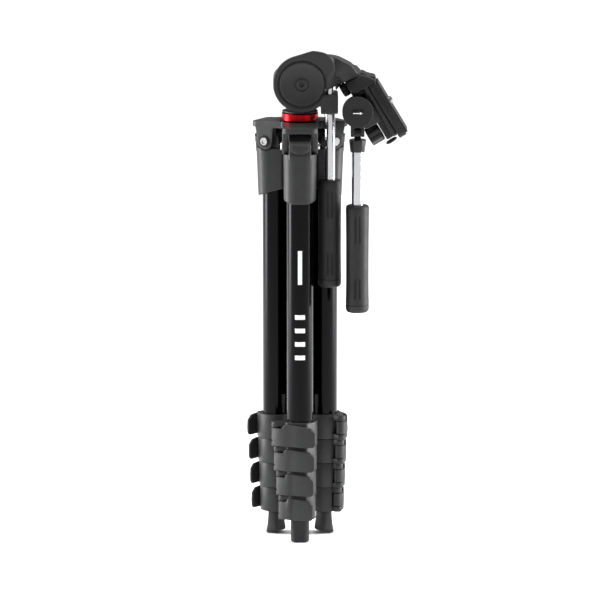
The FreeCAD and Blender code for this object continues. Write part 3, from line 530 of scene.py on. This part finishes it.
def latchPiece():
    # pull tab with a rounded foot and a low ridge along its top
    low, high = boxOf("front_angle_latch")[0].z, boxOf("front_angle_latch")[1].z
    rings = []
    for step in range(15):
        share = step / 14
        level = low + 0.1 + (high - low - 0.2) * share
        near = max(0.0, 1 - share / 0.42)
        half = latch["half"] * math.sqrt(max(0.10, 1 - near ** 2)) if near else latch["half"]
        half -= 0.5 * max(0.0, (share - 0.9) / 0.1) ** 2
        bump = math.exp(-((share - 0.86) / 0.08) ** 2)
        face = latch["face"] + latch["ridge"] * bump - 0.5 * max(0.0, (share - 0.93) / 0.07)
        outline = []
        for i in range(latch["count"]):
            across = -1 + 2 * i / (latch["count"] - 1)
            outline.append((half * across, face - latch["crown"] * across ** 2 - 0.5 * abs(across) ** 12))
        outline += [(half, latch["back"]), (-half, latch["back"])]
        rings.append([Vector((u, -legCircle - w, level)) * mm for u, w in outline])
    return shellThrough("latch", rings)


onEachLeg("angle_latch", (latchPiece(), "tab", leverPlastic, "moulded_body"))


lobe = {"above": 366.5, "start": 22.0, "over": 18.0, "fall": 1.6}


def droop(point):
    # the rim of each lobe falls a little towards the leg's outer side
    if point.z < lobe["above"]:
        return point
    reach = math.hypot(point.x, point.y)
    fall = lobe["fall"] * smoothStep((reach - lobe["start"]) / lobe["over"])
    return Vector((point.x, point.y, point.z - fall))


spiderPiece = softened("spider", "spider_casting", cell=0.6, rounds=10, reshape=droop)
finish(spiderPiece, bodyOf["spider"], bodyPlastic, ["spider"])


def onHinge(piece, side=1):
    turn = Matrix.Rotation(math.radians(90 * side), 4, "Y")
    place = Vector((0, -legCircle - hingePlace["out"], hingePlace["height"]))
    return settle(piece, Matrix.Translation(place * mm) @ turn)


def hingeBolt():
    profile = [(0.01, -17.0), (3.3, -17.0), (3.85, -16.4), (3.85, -15.6), (3.0, -15.5), (3.0, 15.5),
               (3.85, 15.6), (3.85, 16.4), (3.3, 17.2), (2.1, 17.2), (1.9, 16.2), (0.01, 16.2)]
    piece = turnedBar("bolt", profile, 36)
    smoothFaces(piece, 35)
    return onHinge(piece)


def washerRing(side):
    profile = [(2.0, 15.5), (4.9, 15.5), (5.2, 15.7), (5.2, 15.9), (4.0, 15.95), (2.0, 15.95)]
    return onHinge(turnedBar("washer", profile, 36), side)


bolt = hingeBolt()
washers = {"a": washerRing(1), "b": washerRing(-1)}
for leg, turn in legs.items():
    copy = turnedCopy(bolt, leg + "_hinge_bolt", turn)
    finish(copy, "spider", brightMetal, ["leg_hinge_bolts"])
    for letter, washer in washers.items():
        finish(turnedCopy(washer, f"{leg}_washer_{letter}", turn), "spider", knobPlastic)
for master in (bolt, *washers.values()):
    bpy.data.objects.remove(master)
print("castings and bolts done")


# ---- head: arm, drum cap, base ----

arm = {"rearDrop": 0.17, "frontFace": -19.0, "seamRadius": 12.3, "blend": 16.0, "blendFrom": 15.0,
       "blendOver": 14.0, "pastDrum": 24.0, "underside": -6.0, "crownFrom": 4.0, "crownOver": 14.0,
       "crownEnd": 34.0, "crownFade": 16.0}
fold = math.radians(59.0)
seam = Vector((44.2, -6.0, 410.4))
rollAxis = Vector((math.cos(fold), 0, -math.sin(fold)))
rollUp = Vector((math.sin(fold), 0, math.cos(fold)))


def fromDrum(point):
    return point.x - drumAxis["side"], point.z - drumAxis["height"]


def onDrum(piece):
    # stand a piece turned about Z on the drum's own axis
    turn = Matrix.Rotation(math.radians(90), 4, "X")
    return settle(piece, Matrix.Translation(Vector((drumAxis["side"], 0, drumAxis["height"])) * mm) @ turn)


def leanArm(point):
    # the crown falls away towards the back, and the flanks close in to the round seam
    x, z = fromDrum(point)
    offset = point - seam
    along, up, across = offset.dot(rollAxis), offset.dot(rollUp), offset.y
    radius = math.hypot(up, across)
    outside = radius > arm["seamRadius"] and x > arm["pastDrum"] and z > arm["underside"]
    if outside and -arm["blend"] < along < 0.0:
        weight = smoothStep((along + arm["blendFrom"]) / arm["blendOver"])
        scale = 1 - weight * (1 - arm["seamRadius"] / radius)
        up, across = up * scale, across * scale
    point = seam + rollAxis * along + rollUp * up + Vector((0, across, 0))
    above = smoothStep((z - arm["crownFrom"]) / arm["crownOver"])
    above *= smoothStep((arm["crownEnd"] - x) / arm["crownFade"])
    fall = arm["rearDrop"] * max(0.0, point.y - arm["frontFace"]) * above
    return Vector((point.x, point.y, point.z - fall))


armPiece = softened("tilt_arm", "tilt_arm_casting", cell=0.55, rounds=16, keepShare=0.6, reshape=leanArm)

# height of the crown, and depth of the front flank, against the distance to the side
crown = ((8.0, 436.1), (14.5, 435.6), (20.0, 434.6), (26.2, 432.2), (31.0, 429.8), (36.3, 427.2),
         (53.9, 418.2))
flank = ((10.0, -22.0), (20.0, -21.5), (30.0, -20.4), (40.0, -19.0), (54.0, -18.2))


def readCurve(curve, x):
    for (a, low), (b, high) in zip(curve, curve[1:]):
        if a <= x <= b:
            return low + (high - low) * (x - a) / (b - a)
    return None


def fitCurve(piece, axis, sign, curve, depth):
    # slide the outer skin, slice by slice, until its edge lies on the curve
    reach = {}
    points = [vertex.co / mm for vertex in piece.data.vertices]
    for point in points:
        cut = round(point.x)
        reach[cut] = max(reach.get(cut, -1e9), sign * point[axis])
    even = {}
    for cut in reach:
        near = [reach[other] for other in range(cut - 2, cut + 3) if other in reach]
        even[cut] = sum(near) / len(near)
    for vertex, point in zip(piece.data.vertices, points):
        goal = readCurve(curve, point.x)
        if goal is None:
            continue
        low = math.floor(point.x)
        share = point.x - low
        here = even.get(low, 0.0) * (1 - share) + even.get(low + 1, even.get(low, 0.0)) * share
        move = sign * goal - here
        weight = smoothStep((sign * point[axis] - (here - depth)) / depth)
        weight *= smoothStep((point.x - curve[0][0]) / 6.0)
        point[axis] += sign * move * weight
        vertex.co = point * mm
    return piece


fitCurve(armPiece, axis=2, sign=1, curve=crown, depth=16.0)
fitCurve(armPiece, axis=1, sign=-1, curve=flank, depth=10.0)
applyModifier(armPiece, "SMOOTH", factor=0.5, iterations=8)
bpy.ops.object.shade_smooth()
finish(armPiece, bodyOf["tilt_arm"], bodyPlastic, ["tilt_arm"])


cheek = {"shrink": 0.22, "start": -14.0, "over": 20.0}


def shrinkCheek(point):
    # the cheek behind the drum is smaller than the drum's housing
    x, z = fromDrum(point)
    share = 1 - cheek["shrink"] * smoothStep((z - cheek["start"]) / cheek["over"])
    return Vector((drumAxis["side"] + x * share, point.y, drumAxis["height"] + z * share))


basePiece = softened("pan_base", "pan_base_casting", cell=0.5, rounds=5, reshape=shrinkCheek)
finish(basePiece, bodyOf["pan_base"], bodyPlastic, ["pan_base"])


def capPiece():
    # turned face with a shallow rim and a hex-socket screw in its middle
    profile = [(0.01, -19.4), (19.2, -19.4), (19.3, -22.0), (18.9, -22.6), (18.2, -22.8), (17.6, -22.5),
               (6.4, -22.5), (6.1, -21.6), (4.6, -21.6), (4.4, -22.6), (4.0, -22.9), (2.4, -22.9),
               (2.2, -21.4), (0.01, -21.4)]
    piece = turnedBar("drum_cap_face", [(radius, -depth) for radius, depth in profile], 96)
    smoothFaces(piece, 30)
    return onDrum(piece)


finish(capPiece(), bodyOf["drum_cap"], bodyPlastic, ["drum_cap"])


def gapPiece():
    # the dark joint line between the drum's face and its housing
    profile = [(19.55, 21.0), (20.6, 21.0), (20.6, 22.12), (19.55, 22.12), (19.55, 21.0)]
    rings = [circlePoints(radius, height, 96) for radius, height in profile]
    return onDrum(shellThrough("drum_gap", rings, 0, closed=False))


finish(gapPiece(), bodyOf["tilt_arm"], knobPlastic)


def ringPiece():
    # coned below, straight above, open round the column
    low, high = boxOf("column_lock_ring")
    profile = [(11.4, low.z), (13.9, low.z), (16.1, low.z + 2.4), (16.1, high.z - 0.8), (15.5, high.z - 0.1),
               (11.4, high.z - 0.1), (11.4, low.z)]
    rings = [circlePoints(radius, height, 96) for radius, height in profile]
    return shellThrough("lock_ring_body", rings, 35, closed=False)


finish(ringPiece(), bodyOf["column_lock_ring"], redAnodised, ["column_lock_ring"])
print("head done")


# ---- camera platform ----

platformPlace = Matrix.Translation(seam * mm) @ Matrix.Rotation(fold, 4, "Y")

platformShape = softened("camera_platform", "camera_platform_casting", cell=0.45, rounds=8)
finish(platformShape, bodyOf["camera_platform"], platformPlastic, ["camera_platform"])


def trimHub(point):
    # the hub's face is a little smaller than its solid
    share, side, height = 0.93, 50.2, 383.0
    return Vector((side + share * (point.x - side), point.y, height + share * (point.z - height)))


hubShape = softened("roll_hub", "roll_hub_casting", cell=0.4, rounds=8, keepShare=0.4, reshape=trimHub)
finish(hubShape, bodyOf["roll_hub"], platformPlastic, ["roll_hub"])


def boxPiece(name, low, high, rim):
    # a block with rounded edges between two corners
    bpy.ops.object.select_all(action="DESELECT")
    bpy.ops.mesh.primitive_cube_add(size=1.0)
    piece = bpy.context.object
    piece.name = piece.data.name = name
    low, high = Vector(low), Vector(high)
    size = high - low
    piece.data.transform(Matrix.Translation((low + high) / 2 * mm) @ Matrix.Diagonal((*(size * mm), 1.0)))
    applyModifier(piece, "BEVEL", width=rim * mm, segments=4, limit_method="ANGLE", angle_limit=0.9)
    smoothFaces(piece, 40)
    return piece


def blockAlong(name, stations, rim):
    # rounded section drawn along the platform; a station is its distance, foot, top and half width
    rings = []
    for along, foot, top, half in stations:
        corners = [(half, foot), (half, top), (-half, top), (-half, foot)]
        outline = []
        for number, (y, up) in enumerate(corners):
            middleY = y - math.copysign(rim, y)
            middleUp = up + (rim if up == foot else -rim)
            for step in range(6):
                angle = math.radians(-90 + 90 * number + 18 * step)
                outline.append((middleY + rim * math.cos(angle), middleUp + rim * math.sin(angle)))
        rings.append([Vector((along, y, up)) * mm for y, up in outline])
    return settle(shellThrough(name, rings), platformPlace)


shoulder = [(0.8, -6.0, 9.8, 11.6), (1.2, -6.2, 10.9, 12.4), (3.0, -6.2, 12.6, 13.6), (5.5, -6.2, 15.1, 15.0),
            (8.5, -5.4, 17.1, 16.8), (10.6, -3.6, 18.5, 17.8), (11.6, -2.0, 18.8, 18.1),
            (12.1, -1.0, 18.5, 17.9)]
deck = [(11.0, 5.9, 10.2, 16.4), (12.2, 5.7, 10.45, 17.6), (59.0, 5.7, 10.45, 17.6), (61.2, 6.1, 10.3, 17.0),
        (62.0, 6.9, 10.0, 15.8)]
for name, stations in (("platform_shoulder", shoulder), ("platform_deck", deck)):
    block = blockAlong(name, stations, 1.5)
    finish(block, bodyOf["camera_platform"], platformPlastic)
plate = [(12.35, 11.2, 16.6, 17.0), (12.7, 10.7, 17.1, 17.8), (14.0, 10.6, 17.35, 18.2),
         (61.5, 10.6, 17.35, 18.2), (63.6, 10.8, 17.1, 17.9), (65.0, 11.5, 16.4, 16.6),
         (65.8, 12.4, 15.5, 14.6)]
plateShell = blockAlong("plate_shell", plate, 1.4)
finish(plateShell, bodyOf["quick_release_plate"], plateMetal)


def fairingPiece():
    # cheek of the platform behind the handle's hub
    radius, last = 13.4, 24
    corners = []
    for step in range(last + 1):
        angle = math.radians(90 + 230 * step / last)
        along, up = hubPlace["along"] + radius * math.cos(angle), hubPlace["up"] + radius * math.sin(angle)
        corners.append((along, up))
    corners += [(44.4, -10.0), (44.8, -2.0), (44.8, 5.6), (14.0, 5.6), (13.0, 2.0)]
    outline = [Vector((seam.x, 0, seam.z)) + rollAxis * along + rollUp * up for along, up in corners]
    middle = sum(outline, Vector()) / len(outline)
    rings = []
    for depth, shrink in ((-17.0, 0.0), (-19.0, 0.0), (-19.5, 0.3), (-19.75, 0.9)):
        share = shrink / 14.0
        rings.append([(point.lerp(middle, share) + Vector((0, depth, 0))) * mm for point in outline])
    return shellThrough("platform_cheek", rings)


finish(fairingPiece(), bodyOf["camera_platform"], bodyPlastic)


def labelPieces():
    # thin black plate with a plain arrow, on the face of the hub
    label = boxPiece("hub_label", (44.6, -30.25, 379.4), (55.8, -29.6, 386.0), 0.2)
    finish(label, bodyOf["roll_hub"], knobPlastic)
    outline = [(46.2, 382.0), (52.2, 382.0), (52.2, 381.2), (54.6, 382.4), (52.2, 383.6), (52.2, 382.8),
               (46.2, 382.8)]
    rings = [[Vector((x, depth, z)) * mm for x, z in outline] for depth in (-30.2, -30.35)]
    finish(shellThrough("hub_arrow", rings, 0), bodyOf["roll_hub"], markPaint)


labelPieces()


def flutedKnob(name, radius, low, high, flutes, depth):
    # a turned knob with rounded rims and flutes round its widest part
    profile = [(0.01, low), (radius - 1.0, low), (radius - 0.1, low + 0.7), (radius, low + 1.2),
               (radius, high - 1.2), (radius - 0.1, high - 0.7), (radius - 1.0, high), (0.01, high)]
    piece = turnedBar(name, profile, 96, flutes, depth)
    smoothFaces(piece, 40)
    return piece


def onPlatform(piece, along, up, lying=False):
    turn = Matrix.Rotation(math.radians(90), 4, "Y") if lying else Matrix.Identity(4)
    return settle(piece, platformPlace @ Matrix.Translation(Vector((along, 0, up)) * mm) @ turn)


def knob(node, piece, material):
    finish(piece, bodyOf[node], material, [node])


frictionKnob = flutedKnob("roll_friction_knob_grip", radius=6.0, low=-12.7, high=-6.7, flutes=20, depth=0.5)
lockKnob = flutedKnob("plate_lock_knob_grip", radius=8.5, low=-13.4, high=-1.4, flutes=6, depth=1.1)
safetyKnob = flutedKnob("plate_safety_knob_grip", radius=5.5, low=64.8, high=67.1, flutes=16, depth=0.3)
knob("roll_friction_knob", onPlatform(frictionKnob, along=6.5, up=0), knobPlastic)
knob("plate_lock_knob", onPlatform(lockKnob, along=53.5, up=0), platformPlastic)
knob("plate_safety_knob", onPlatform(safetyKnob, along=0, up=2.3, lying=True), knobPlastic)
print("platform done")


# ---- handles ----

grip = {"radius": 10.25, "length": 95.0, "count": 120, "grooveDepth": 0.9, "grooveHalf": 0.055}
rodCut = 350.0
grooveAngles = (-100.0, -80.0, 20.0, 40.0, 140.0, 160.0)


def inGroove(angle):
    for groove in grooveAngles:
        away = abs((angle - math.radians(groove) + math.pi) % (2 * math.pi) - math.pi)
        if away < grip["grooveHalf"]:
            return True
    return False


def gripPiece(name, top, side, depth):
    # height above the grip's foot, and radius
    full = grip["radius"]
    levels = [(0.0, 7.6), (0.5, 8.9), (1.6, 9.8), (3.2, 10.2), (6.4, full), (6.7, 9.85), (7.3, 9.85),
              (7.6, full), (12.0, 10.1), (13.0, 10.05), (30.0, 9.85), (31.0, 9.85), (62.0, 9.9), (63.0, 9.9),
              (86.0, 10.1), (87.0, 10.15), (92.4, 10.2), (93.8, 9.9), (94.6, 9.2), (95.0, 8.2)]
    grooved = ((13.0, 30.0), (63.0, 86.0))
    low = top - grip["length"]
    rings = []
    for height, radius in levels:
        deep = any(a - 0.01 <= height <= b + 0.01 for a, b in grooved)
        ring = []
        for i in range(grip["count"]):
            angle = 2 * math.pi * i / grip["count"]
            dent = grip["grooveDepth"] if deep and inGroove(angle) else 0.0
            x, y = side + (radius - dent) * math.cos(angle), depth + (radius - dent) * math.sin(angle)
            ring.append(Vector((x, y, low + height)) * mm)
        rings.append(ring)
    return shellThrough(name, rings, 35)


for node in ("tilt_handle_grip", "roll_handle_grip"):
    low, high = boxOf(node)
    middle = (low + high) / 2
    sleeveShape = gripPiece(node + "_sleeve", high.z, middle.x, middle.y)
    finish(sleeveShape, bodyOf[node], gripRubber, [node])


def cutCopy(node, name, keepAbove):
    piece = nodeCopy(node, name)
    cutLevel(piece, rodCut, True, keepAbove)
    smoothFaces(piece, 35)
    return piece


# the rod is bright, and its tongue above the collar is dark
rodTongue = cutCopy("roll_handle_rod", "roll_rod_tongue", keepAbove=True)
rodBar = cutCopy("roll_handle_rod", "roll_rod_bar", keepAbove=False)
finish(rodTongue, bodyOf["roll_handle_rod"], knobPlastic)
finish(rodBar, bodyOf["roll_handle_rod"], brightMetal, ["roll_handle_rod"])

low, high = boxOf("fold_lock_collar")
middle = (low + high) / 2
profile = [(5.2, -11.0), (6.1, -11.0), (6.3, -10.6), (7.45, -0.8), (7.0, -0.1), (5.2, -0.1)]
collarShape = turnedBar("fold_collar_shell", profile, count=72, flutes=12, fluteDepth=0.35)
smoothFaces(collarShape, 35)
settle(collarShape, Matrix.Translation(Vector((middle.x, middle.y, high.z)) * mm))
finish(collarShape, bodyOf["fold_lock_collar"], knobPlastic, ["fold_lock_collar"])
print("handles done")


# ---- plain painted marks ----

def paintedBar(name, low, high, halfAngle):
    # a thin curved strip lying on the front tube
    columns = 13
    angles = [math.radians(-90 - halfAngle + 2 * halfAngle * i / (columns - 1)) for i in range(columns)]
    rings = []
    for radius in (tubeOuter + 0.03, tubeOuter + 0.08):
        outline = []
        for height, order in ((low, angles), (high, angles[::-1])):
            for angle in order:
                x, y = radius * math.cos(angle), -legCircle + radius * math.sin(angle)
                outline.append(Vector((x, y, height)) * mm)
        rings.append(outline)
    finish(shellThrough(name, rings, 0), bodyOf["front_section_1"], markPaint)


marks = {"longLow": 232.0, "longHigh": 262.0, "longAngle": 9.0, "low": 165.0, "step": 12.0, "height": 4.0,
         "angle": 22.0}
paintedBar("tube_mark_long", marks["longLow"], marks["longHigh"], marks["longAngle"])
for number in range(4):
    low = marks["low"] + number * marks["step"]
    paintedBar(f"tube_mark_{number + 1}", low, low + marks["height"], marks["angle"])
print("marks done")


# ---- floor, light and camera ----

# metres, watts and degrees
light = {"side": 1.3, "depth": 0.08, "height": 0.5, "width": 0.5, "tall": 1.3, "power": 44, "sky": 0.32,
         "sun": 2.7, "sunSpread": 60.0, "sunLean": -8.0, "aim": (0, 0.05, 0.22)}
ground = {"size": 12.0, "colour": (0.93, 0.93, 0.93), "roughness": 0.7}
view = {"sensor": 36.0, "lens": 326.9, "aim": 0.212, "rise": 10.3, "distance": 4.8}


def addLamp(name, kind, energy):
    data = bpy.data.lights.new(name, kind)
    data.energy = energy
    lamp = bpy.data.objects.new(name, data)
    bpy.context.scene.collection.objects.link(lamp)
    return lamp, data


def floorPlane():
    bpy.ops.object.select_all(action="DESELECT")
    bpy.ops.mesh.primitive_plane_add(size=ground["size"], location=(0, 0, 0))
    floor = bpy.context.object
    floor.name = "floor"
    material, shader = newMaterial("paleFloor", ground["colour"], ground["roughness"])
    shader.inputs["Specular IOR Level"].default_value = 0.0
    floor.data.materials.append(material)


def studioLights():
    # pale sky, a wide softbox on each side and a broad light from above
    world = bpy.data.worlds.new("studio")
    world.use_nodes = True
    background = world.node_tree.nodes["Background"]
    background.inputs["Color"].default_value = (1.0, 1.0, 1.0, 1.0)
    background.inputs["Strength"].default_value = light["sky"]
    bpy.context.scene.world = world
    bpy.context.scene.view_settings.view_transform = "Standard"
    aim = Vector(light["aim"])
    for name, side in (("leftSoftbox", -1), ("rightSoftbox", 1)):
        lamp, data = addLamp(name, "AREA", light["power"])
        data.shape = "RECTANGLE"
        data.size, data.size_y = light["width"], light["tall"]
        lamp.location = (side * light["side"], light["depth"], light["height"])
        lamp.rotation_euler = (aim - lamp.location).to_track_quat("-Z", "Y").to_euler()
    lamp, data = addLamp("skylight", "SUN", light["sun"])
    data.angle = math.radians(light["sunSpread"])
    lamp.rotation_euler = (math.radians(light["sunLean"]), 0, 0)


def studioCamera():
    camera = bpy.data.cameras.new("camera")
    camera.sensor_width = view["sensor"]
    camera.lens = view["lens"]
    eye = bpy.data.objects.new("camera", camera)
    aim = Vector((0, 0, view["aim"]))
    rise = math.radians(view["rise"])
    eye.location = aim + view["distance"] * Vector((0, -math.cos(rise), math.sin(rise)))
    eye.rotation_euler = (aim - eye.location).to_track_quat("-Z", "Y").to_euler()
    bpy.context.scene.collection.objects.link(eye)
    bpy.context.scene.camera = eye


floorPlane()
studioLights()
studioCamera()
